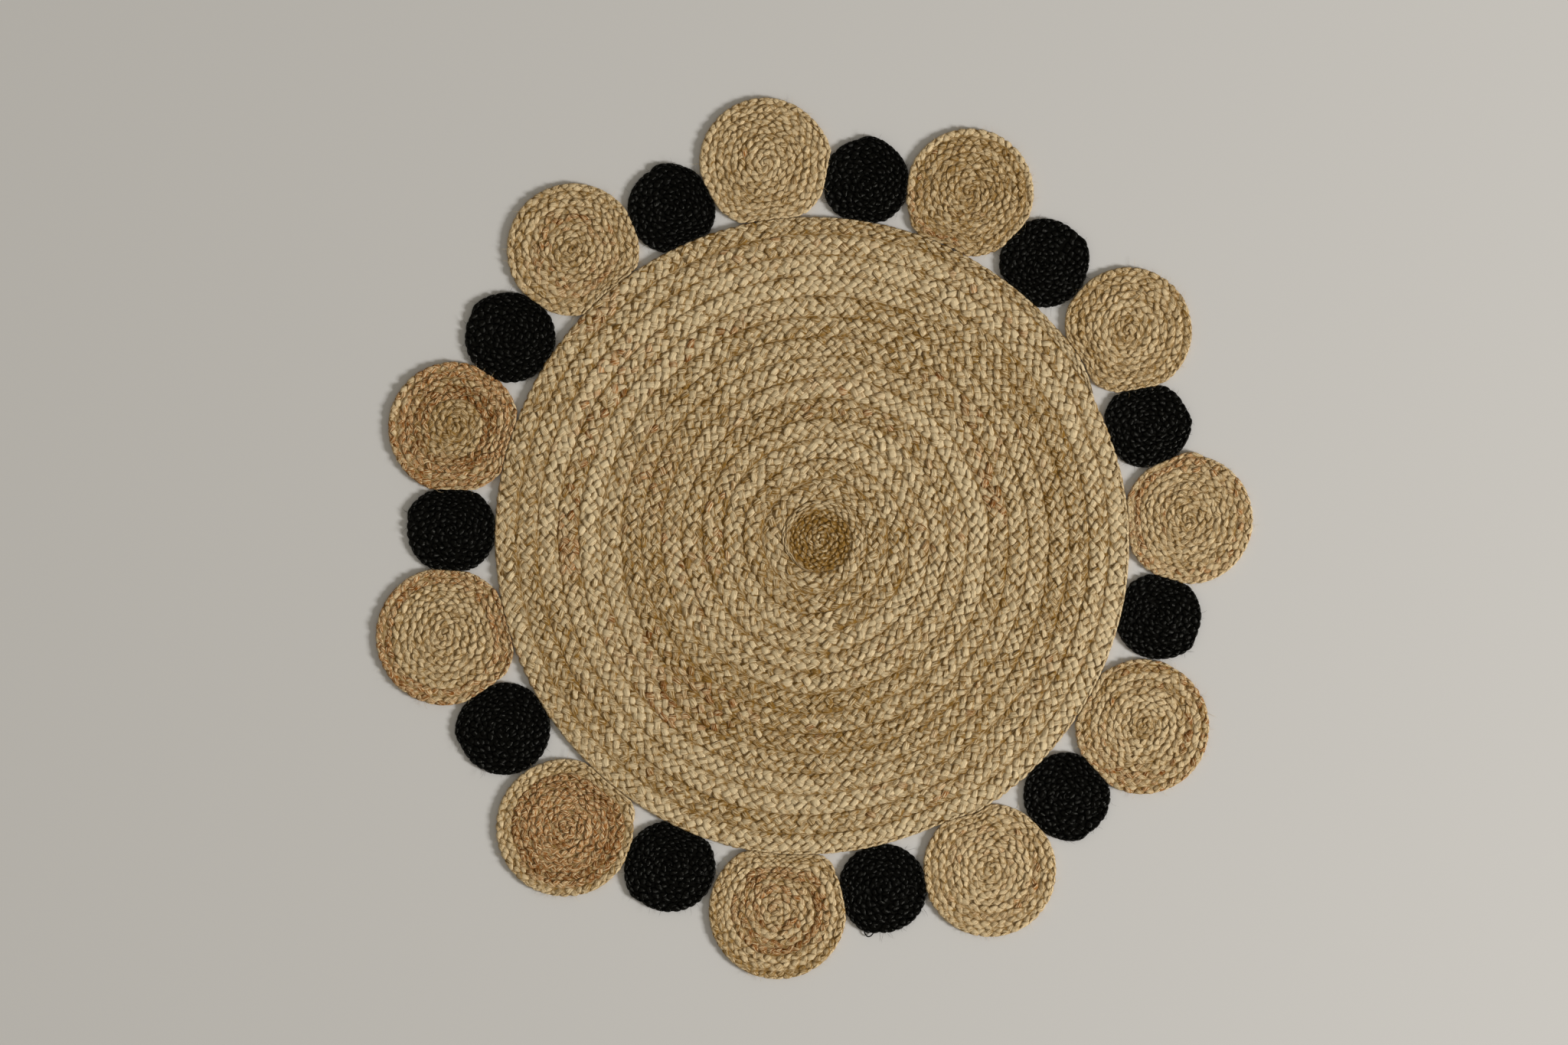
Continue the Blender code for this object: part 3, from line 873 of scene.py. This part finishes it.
def rim_tubes(coil, fat):
    """Tubes round a straight rim: h cos q across and h + h sin q up, q from 105 to -85 degrees."""
    plait = coil.plait
    bend = np.radians(np.linspace(OVER, UNDER, TURN_STATIONS))[None, :]
    half = coil.thick / 2
    thin = plait.depth / 2 * TURN_DEPTH * fat[:, None]
    out = np.cos(bend) * (half - TURN_PLAY - thin)
    rise = half + np.sin(bend) * (half - thin)
    lean = plait.width * TURN_LEAN * np.linspace(-1, 1, TURN_STATIONS)[None, :] * np.ones((len(fat), 1))
    line = np.stack([lean, out, rise], axis=-1)
    width = plait.width / 2 * TURN_WIDTH * fat[:, None] * TURN_SWELL
    side = np.stack([width, 0 * width, 0 * width], axis=-1)
    inner = bend[:, 1:-1]
    up = np.stack([0 * width, np.cos(inner) * thin * TURN_SWELL, np.sin(inner) * thin * TURN_SWELL], axis=-1)
    return tubes(line[:, 1:-1], side, up, line[:, [0, -1]], plait.sides)


def rim_turns(coil, random):
    """The half rings, evenly spread along the last turn's outer edge: points, faces, UV and yarn values."""
    plait = coil.plait
    outer = FULL_TURN * (coil.turns - 1) + FULL_TURN * np.linspace(0, 1, RIM_STEPS)
    x, y = place(coil, outer, np.ones_like(outer))
    walked = np.concatenate([[0], np.cumsum(np.hypot(np.diff(x), np.diff(y)))])
    count = int(walked[-1] / plait.spacing)
    stops = (np.arange(count) + random.normal(0, TURN_JITTER, count) + 0.5) / count * walked[-1]
    wound = np.interp(stops, walked, outer)
    fat = 1 + random.normal(0, JITTER, count)
    points = rim_tubes(coil, fat)
    spot = direction(coil, wound[:, None] + points[..., 0] / rim(coil, direction(coil, wound))[:, None])
    reach = rim(coil, spot) - coil.thick / 2 + TURN_OUT + points[..., 1]
    x, y = coil.x + reach * np.cos(spot), coil.y + reach * np.sin(spot)
    world_points = np.stack([x, y, points[..., 2]], axis=-1)
    tone = random.normal(TURN_TONE, TURN_TONE_SPREAD, count) + coil.tone * TABLE_TONE
    share = coil.rust * (coil.rust_to > REACHES_RIM)
    rust = ease((random.uniform(0, 1, count) - 1 + share) / TURN_RUST_SOFT)
    rings = TURN_STATIONS - 2
    # crown for a painted highlight on top of each turn and painted shade underneath and at its ends
    upper = np.full((rings, 1), 0.5) + 0.5 * np.sin(ring_turns(plait.sides))
    crown = np.concatenate([[0], upper.ravel(), [0]])
    yarn = np.stack(np.broadcast_arrays(tone[:, None], rust[:, None], crown[None]), axis=-1)
    quads, triangles = tube_faces(count, rings, plait.sides)
    along_uv = random.uniform(0, STREAKS, count)[:, None] + np.linspace(0, TURN_UV, rings)
    uv = tube_uv(along_uv, np.pi * plait.width * fat, rings, plait.sides)
    return world_points, quads, triangles, *uv, yarn


print("round the large rim a strand turns over", round(np.pi / 2 * CENTRE_THICK * 1000, 1), "mm")

# %% [markdown]
# ## Stray fibres
# Jute sheds. Fine pale fibres stand off the rims and lie loose across the top, and they are what makes
# the outline soft. Each one is a thin tube of three sides along an arc, which costs only a few faces.

# %% Stray fibres of one coil
FIBRE_AT_RIM = 0.985                    # share of the way out where those at the rim start
FIBRE_ON_TOP = (0.01, 0.95)             # shares of the area between which those on top start
FIBRE_RISING = (0.2, 0.9)               # heights at which the rim sheds them, in thicknesses
FIBRE_ASTRAY = 0.9                      # spread of their headings from straight out, in radians
FIBRE_SHAPE, FIBRE_SCALE = 2, 0.0024    # of the gamma distribution that their lengths follow, in metres
FIBRE_SHORTEST, FIBRE_LONGEST = 0.0025, 0.016
FIBRE_THIN, FIBRE_THICK = 0.00008, 0.00022
FIBRE_LOWEST, FIBRE_HIGHEST = 0.0004, 0.003     # over the floor, and over the round's thickness
FIBRE_AROUND = 0.0006                   # metres round a fibre in its UV map
FIBRE_TAPER = np.array([1, 0.85, 0.6])
FIBRE_CROWN = 0.9
FIBRE_TONE, FIBRE_TONE_SPREAD = 0.9, 0.5
FIBRE_SIDES = 3
CURL = 55                               # spread of the turning, in radians a metre
RIM_CLIMB, TOP_CLIMB = (0.0, 0.22), (0.12, 0.06)    # mean and spread of their slopes
DROOP = 0.6                             # share of the climb lost at the tip


def stray_fibres(coil, random, at_rim, on_top):
    """Thin tubes along arcs: they start in the plait, turn slowly to one side and end in a point."""
    count = at_rim + on_top
    share = np.concatenate([np.full(at_rim, FIBRE_AT_RIM), np.sqrt(random.uniform(*FIBRE_ON_TOP, on_top))])
    around = random.uniform(0, FULL_TURN, count)
    start = share * rim(coil, around)
    rising = np.concatenate([random.uniform(*FIBRE_RISING, at_rim), np.full(on_top, CREST)]) * coil.thick
    length = np.minimum(random.gamma(FIBRE_SHAPE, FIBRE_SCALE, count) + FIBRE_SHORTEST, FIBRE_LONGEST)
    heading = around + random.normal(0, FIBRE_ASTRAY, count)
    heading[at_rim:] = random.uniform(0, FULL_TURN, on_top)
    curl = random.normal(0, CURL, count)
    climb = np.concatenate([random.normal(*RIM_CLIMB, at_rim), random.normal(*TOP_CLIMB, on_top)])
    rings = len(FIBRE_TAPER)
    q = np.linspace(0, 1, rings + 2)[None, :]
    run = length[:, None] * q
    bearing = heading[:, None] + curl[:, None] * run / 2
    x = coil.x + start[:, None] * np.cos(around)[:, None] + run * np.cos(bearing)
    y = coil.y + start[:, None] * np.sin(around)[:, None] + run * np.sin(bearing)
    arch = climb[:, None] * run * (1 - DROOP * q)
    z = np.clip(rising[:, None] + arch, FIBRE_LOWEST, coil.thick + FIBRE_HIGHEST)
    line = np.stack([x, y, z], axis=-1)
    thick = random.uniform(FIBRE_THIN, FIBRE_THICK, count)[:, None] * FIBRE_TAPER
    side = np.stack([-np.sin(bearing[:, 1:-1]) * thick, np.cos(bearing[:, 1:-1]) * thick, 0 * thick], axis=-1)
    up = np.stack([0 * thick, 0 * thick, thick], axis=-1)
    points = tubes(line[:, 1:-1], side, up, line[:, [0, -1]], FIBRE_SIDES)
    tone = random.normal(FIBRE_TONE, FIBRE_TONE_SPREAD, count)
    crown = np.full((1, points.shape[1]), FIBRE_CROWN)
    yarn = np.stack(np.broadcast_arrays(tone[:, None], 0.0, crown), axis=-1)
    quads, triangles = tube_faces(count, rings, FIBRE_SIDES)
    along_uv = random.uniform(0, STREAKS, count)[:, None] + run[:, 1:-1]
    uv = tube_uv(along_uv, np.full(count, FIBRE_AROUND), rings, FIBRE_SIDES)
    return points, quads, triangles, *uv, yarn


usual = FIBRE_SHAPE * FIBRE_SCALE + FIBRE_SHORTEST
print("a stray fibre is about", round(usual * 1000, 1), "mm long")

# %% [markdown]
# ## A loose loop of yarn
# One black round has a short loop of yarn that has worked loose at its rim. It is one more tube, along a
# parabola that starts and ends in the plait.

# %% Loop of yarn
LOOP_STATIONS = 9
LOOP_SIDES = 6
LOOP_UV = 0.02         # metres of streaks along it
LOOP_TONE = 0.5
LOOPS = {"black_06": (((0.0700, -0.5385), (0.0850, -0.5405)), 0.0085, 0.0009, 0.0030)}
# the round that has it, and its ends, how far it bulges, its radius, its height


def yarn_loop(ends, sag, radius, height):
    """One tube between two places on the floor: a parabola that bulges by sag to the right of the way."""
    (x0, y0), (x1, y1) = ends
    q = np.linspace(0, 1, LOOP_STATIONS)
    bulge = sag * 4 * q * (1 - q) / np.hypot(x1 - x0, y1 - y0)
    x = x0 + (x1 - x0) * q + (y1 - y0) * bulge
    y = y0 + (y1 - y0) * q - (x1 - x0) * bulge
    line = np.stack([x, y, height + 0 * q], axis=-1)[None]
    way = np.gradient(line[0], axis=0)
    way = way / np.linalg.norm(way, axis=1)[:, None]
    side = radius * np.stack([-way[:, 1], way[:, 0], 0 * q], axis=-1)[None, 1:-1]
    up = radius * np.stack([0 * q, 0 * q, 1 + 0 * q], axis=-1)[None, 1:-1]
    points = tubes(line[:, 1:-1], side, up, line[:, [0, -1]], LOOP_SIDES, 1.0)
    rings = LOOP_STATIONS - 2
    quads, triangles = tube_faces(1, rings, LOOP_SIDES)
    uv = tube_uv(LOOP_UV * q[None, 1:-1], np.full(1, 6 * radius), rings, LOOP_SIDES)
    crown = np.full((1, points.shape[1]), FIBRE_CROWN)
    yarn = np.stack(np.broadcast_arrays(LOOP_TONE, 0.0, crown), axis=-1)
    return points, quads, triangles, *uv, yarn


for name, (ends, sag, radius, height) in LOOPS.items():
    print("the loop at", name, "bulges", round(sag * 1000, 1), "mm")

# %% [markdown]
# ## Jute as a material
# A strand is a bundle of fine fibres that run along it, so its colour and its relief are streaks: noise
# stretched many times longer along the strand than across it. The piece's own UV map gives both
# directions in metres. Nodes can be added by hand in the shader editor, and these four helpers do the
# same in one line each.

# %% Helpers for nodes


def new_group(name, inputs, outputs):
    """An empty shader node group with these sockets."""
    tree = bpy.data.node_groups.new(name, "ShaderNodeTree")
    for label, kind, value in inputs:
        socket = tree.interface.new_socket(label, in_out="INPUT", socket_type=kind)
        socket.default_value = value
    for label, kind in outputs:
        tree.interface.new_socket(label, in_out="OUTPUT", socket_type=kind)
    return tree, tree.nodes.new("NodeGroupInput"), tree.nodes.new("NodeGroupOutput")


def put(tree, kind, links=(), **settings):
    """Adds a node, sets what is named, and links (socket, input) pairs."""
    node = tree.nodes.new(kind)
    for label, value in settings.items():
        setattr(node, label, value)
    for source, target in links:
        if isinstance(source, bpy.types.NodeSocket):
            tree.links.new(source, node.inputs[target])
        else:
            node.inputs[target].default_value = source
    return node


def math(tree, operation, first, second=0.0, third=0.0, clamp=False):
    """One Math node with these values or sockets."""
    links = [(first, 0), (second, 1), (third, 2)]
    return put(tree, "ShaderNodeMath", links, operation=operation, use_clamp=clamp).outputs[0]


def mix(tree, share, first, second, blend="MIX"):
    """Colour first to second by share, or to first times second with the blend MULTIPLY."""
    node = put(tree, "ShaderNodeMix", data_type="RGBA", blend_type=blend)
    for source, target in ((share, node.inputs[0]), (first, node.inputs[6]), (second, node.inputs[7])):
        if isinstance(source, bpy.types.NodeSocket):
            tree.links.new(source, target)
        else:
            target.default_value = source
    return node.outputs[2]


# %% [markdown]
# ## One group for the three yarns
# The streaks are a node group, because all three yarns use them. The group also reads the yarn values
# that were stored on the points. The tone picks a colour between brown and straw. The crown, which is 1
# on top of a knob, paints light and shade: a painted highlight on the top and painted shade a little
# lower, by the amount Worn times the crown to the power Peak above a level, and painted shade
# on the flank towards the crevice colour, as far as Open and Rise let it. Rust tints the reddish
# strands, mostly in their darker streaks.

# %% Node group for jute
LONG_STREAKS = (100, 400, 1)      # how often the noise repeats in a metre along, across and up
FINE_STREAKS = (300, 2800, 1)
COARSE_SHARE, FINE_SHARE = 0.7, 0.3
TONE_SHARE = 0.22                 # how far a tone of 1 goes from brown to straw
PAINTED_LIGHT_ZERO = 0.42                     # crown to the power Peak at which the painted light neither shades nor brightens
RUST_SLOPE, RUST_OFFSET = -4.5, 2.85    # rust tints nearly all of a dark streak and none of a pale one
FLANK_SOFT = 0.3                  # how gently the darkening of the flank ends
STREAK_SHINE, TONE_SHINE = -0.2, -0.07


def jute_group():
    """Streaks along the strand, the yarn's colour and the relief of its fibres."""
    colour, number = "NodeSocketColor", "NodeSocketFloat"
    inputs = [
        ("Crevice_shade", colour, (0.05, 0.03, 0.015, 1)), ("Brown", colour, (0.25, 0.16, 0.07, 1)),
        ("Straw", colour, (0.6, 0.48, 0.28, 1)), ("Rust", colour, (0.9, 0.55, 0.35, 1)),
        ("Fibres", number, 1.0), ("Contrast", number, 1.0), ("Matt", number, 0.86), ("Open", number, 0.1),
        ("Rise", number, 1.9), ("Worn", number, 0.45), ("Peak", number, 1.5),
    ]
    outputs = [("Color", colour), ("Roughness", number), ("Height", number)]
    tree, given, made = new_group("jute_yarn", inputs, outputs)
    uv = put(tree, "ShaderNodeUVMap", uv_map="strand").outputs["UV"]
    yarn = put(tree, "ShaderNodeAttribute", attribute_name="yarn").outputs["Vector"]
    tone, rust, crown = put(tree, "ShaderNodeSeparateXYZ", [(yarn, 0)]).outputs

    # The streaks: coarse ones and fine ones in their shares.
    long_streaks = put(tree, "ShaderNodeMapping", [(uv, "Vector"), (LONG_STREAKS, "Scale")]).outputs[0]
    fine_streaks = put(tree, "ShaderNodeMapping", [(uv, "Vector"), (FINE_STREAKS, "Scale")]).outputs[0]
    scale = given.outputs["Fibres"]
    coarse = put(tree, "ShaderNodeTexNoise", [(long_streaks, "Vector"), (scale, "Scale"), (2.0, "Detail")])
    coarse = coarse.outputs["Fac"]
    fine = put(tree, "ShaderNodeTexNoise", [(fine_streaks, "Vector"), (scale, "Scale"), (3.0, "Detail")])
    streak = math(tree, "MULTIPLY", coarse, COARSE_SHARE)
    streak = math(tree, "MULTIPLY_ADD", fine.outputs["Fac"], FINE_SHARE, streak)

    # From brown to straw: streaks, tone, and the painted highlight and shade of the crown.
    spread = math(tree, "MULTIPLY_ADD", math(tree, "SUBTRACT", streak, 0.5), given.outputs["Contrast"], 0.5)
    toned = math(tree, "MULTIPLY_ADD", tone, TONE_SHARE, spread)
    painted_light = math(tree, "SUBTRACT", math(tree, "POWER", crown, given.outputs["Peak"]), PAINTED_LIGHT_ZERO)
    painted_light = math(tree, "MULTIPLY", painted_light, given.outputs["Worn"])
    lit = math(tree, "ADD", toned, painted_light, clamp=True)
    yarn_colour = mix(tree, lit, given.outputs["Brown"], given.outputs["Straw"])

    # Rust in the darker streaks, and painted shade towards the crevice at a knob's foot.
    some = math(tree, "MULTIPLY_ADD", coarse, RUST_SLOPE, RUST_OFFSET, clamp=True)
    rusty = mix(tree, math(tree, "MULTIPLY", rust, some), yarn_colour, given.outputs["Rust"], "MULTIPLY")
    flank = math(tree, "MULTIPLY_ADD", crown, given.outputs["Rise"], given.outputs["Open"])
    flank = math(tree, "SMOOTH_MIN", flank, 1.0, FLANK_SOFT)
    shaded = mix(tree, flank, given.outputs["Crevice_shade"], rusty)

    # Pale streaks and pale strands shine a little more.
    rough = math(tree, "MULTIPLY_ADD", streak, STREAK_SHINE, given.outputs["Matt"])
    rough = math(tree, "MULTIPLY_ADD", tone, TONE_SHINE, rough)
    for socket, label in ((shaded, "Color"), (rough, "Roughness"), (streak, "Height")):
        tree.links.new(socket, made.inputs[label])
    return tree


JUTE = jute_group()
print("group", JUTE.name, "with", len(JUTE.nodes), "nodes")

# %% [markdown]
# ## Three yarns
# Each yarn is a Principled surface fed by the group with its own colours. The large round's jute is the
# palest. The narrow plait's is a little redder and more finely spun. The black yarn is nearly all shine:
# its colour is almost nothing, and what shows is the window in its waxed fibres, a little warm.

# %% The three materials
BUMP_STRENGTH = 0.8


def srgb(red, green, blue):
    """A colour of 0 to 255 as the linear values that shaders use."""
    return (*((np.array([red, green, blue]) / 255) ** 2.2), 1)


def jute_material(name, colours, fibres, relief, matt, shine, **more):
    """The surface: colours are painted crevice shade, brown, straw and rust; relief is the bump in metres."""
    made = bpy.data.materials.new(name)
    made.use_nodes = True
    tree = made.node_tree
    surface = tree.nodes["Principled BSDF"]
    surface.inputs["Specular IOR Level"].default_value = shine
    group = put(tree, "ShaderNodeGroup", node_tree=JUTE)
    values = dict(zip(("Crevice_shade", "Brown", "Straw", "Rust"), colours), Fibres=fibres, Matt=matt, **more)
    for label, value in values.items():
        group.inputs[label].default_value = value
    bump = put(tree, "ShaderNodeBump", [(group.outputs["Height"], "Height")])
    bump.inputs["Strength"].default_value = BUMP_STRENGTH
    bump.inputs["Distance"].default_value = relief
    tree.links.new(group.outputs["Color"], surface.inputs["Base Color"])
    tree.links.new(group.outputs["Roughness"], surface.inputs["Roughness"])
    tree.links.new(bump.outputs["Normal"], surface.inputs["Normal"])
    return made


# the first colour of each yarn is its painted crevice shade
wide_jute = jute_material(
    "wide_jute", (srgb(84, 50, 6), srgb(146, 108, 48), srgb(240, 215, 170), (0.66, 0.36, 0.16, 1)),
    fibres=1.0, relief=0.0027, matt=0.74, shine=0.12,
    Open=0.62, Rise=1.3, Worn=0.75, Peak=3.0, Contrast=4.4,
)
narrow_jute = jute_material(
    "narrow_jute", (srgb(84, 50, 10), srgb(150, 113, 56), srgb(236, 209, 163), (0.60, 0.31, 0.10, 1)),
    fibres=1.2, relief=0.0022, matt=0.74, shine=0.12,
    Open=0.62, Rise=1.3, Worn=0.70, Peak=3.0, Contrast=4.2,
)
black_jute = jute_material(
    "black_jute", (srgb(0, 0, 0), srgb(0, 0, 0), srgb(8, 8, 7), (1.0, 0.9, 0.8, 1)),
    fibres=1.2, relief=0.0012, matt=0.40, shine=0.14,
    Open=0.2, Rise=1.9, Worn=0.45, Peak=1.5, Contrast=3.2,
)
black_surface = black_jute.node_tree.nodes["Principled BSDF"]
black_surface.inputs["Specular Tint"].default_value = (1.0, 0.97, 0.84, 1)
print("materials", [m.name for m in bpy.data.materials if m.name.endswith("jute")])

# %% [markdown]
# ## Putting a round together
# Each round becomes a body, which stands for the solid in the frame, and one or more plait pieces lying
# on it. The large round has so many knobs that they are shared out over three pieces, from the middle
# outwards, to keep each mesh light enough to export.

# %% Assemble the rounds
SHARED_OUT = 3         # pieces for the large round's knobs


def joined(parts):
    """Several sets of tubes as one: points one after another, and face numbers shifted to match."""
    points, quads, triangles, quad_uv, triangle_uv, yarn = [], [], [], [], [], []
    shift = 0
    for part in parts:
        flat = part[0].reshape(-1, 3)
        points.append(flat)
        quads.append(part[1] + shift)
        triangles.append(part[2] + shift)
        quad_uv.append(part[3])
        triangle_uv.append(part[4])
        yarn.append(part[5].reshape(-1, 3))
        shift += len(flat)
    return [np.concatenate(rows) for rows in (points, quads, triangles, quad_uv, triangle_uv, yarn)]


def part_of(tube_set, first, last):
    """Tubes first to last of a set that has the same number of points and faces for each tube."""
    points, quads, triangles, quad_uv, triangle_uv, yarn = tube_set
    count = len(points)
    per_quad, per_triangle = len(quads) // count, len(triangles) // count
    rows, threes = slice(first * per_quad, last * per_quad), slice(first * per_triangle, last * per_triangle)
    shift = first * points.shape[1]
    return (points[first:last], quads[rows] - shift, triangles[threes] - shift, quad_uv[rows],
            triangle_uv[threes], yarn[first:last])


def add_round(coil, index, material, spokes, samples, at_rim, on_top, shares=1, start=None):
    """Body, knobs, rim turns and stray fibres of one round, tied to the frame. Returns its triangles."""
    random = np.random.default_rng(1000 + index)
    disc = add_piece(coil.name + "_body", *body(coil, spokes, samples), material)
    knob_set = knobs(coil, random)
    edge_set = rim_turns(coil, random)
    fibre_set = stray_fibres(coil, random, at_rim, on_top)
    print(coil.name, "has", len(knob_set[0]), "knobs and", len(edge_set[0]), "turns at its rim")
    cuts = (np.linspace(0, 1, shares + 1) * len(knob_set[0])).astype(int)
    pieces = []
    for k, (first, last) in enumerate(zip(cuts, cuts[1:])):
        sets = [part_of(knob_set, first, last)] + [edge_set, fibre_set] * (k == shares - 1)
        if start and k == 0:
            sets.append(knobs(start, random))
        if coil.name in LOOPS:
            sets.append(yarn_loop(*LOOPS[coil.name]))
        name = coil.name + "_plait" + (f"_{k + 1}" if shares > 1 else "")
        pieces.append(add_piece(name, *joined(sets), material))
    for piece in (disc, *pieces):
        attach(piece, "root")
    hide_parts(coil.name)
    return sum(len(p.data.loops) - 2 * len(p.data.polygons) for p in (disc, *pieces))


faces = add_round(
    centre, 0, wide_jute, spokes=128, samples=3, at_rim=260, on_top=900,
    shares=SHARED_OUT, start=eye,
)
print("large round:", faces, "triangles")
for index, coil in enumerate(naturals, 1):
    faces += add_round(
        coil, index, narrow_jute, spokes=60, samples=3, at_rim=70, on_top=50)
for index, coil in enumerate(blacks, 1 + len(naturals)):
    faces += add_round(
        coil, index, black_jute, spokes=48, samples=3, at_rim=45, on_top=12)
print("whole rug:", faces, "triangles")
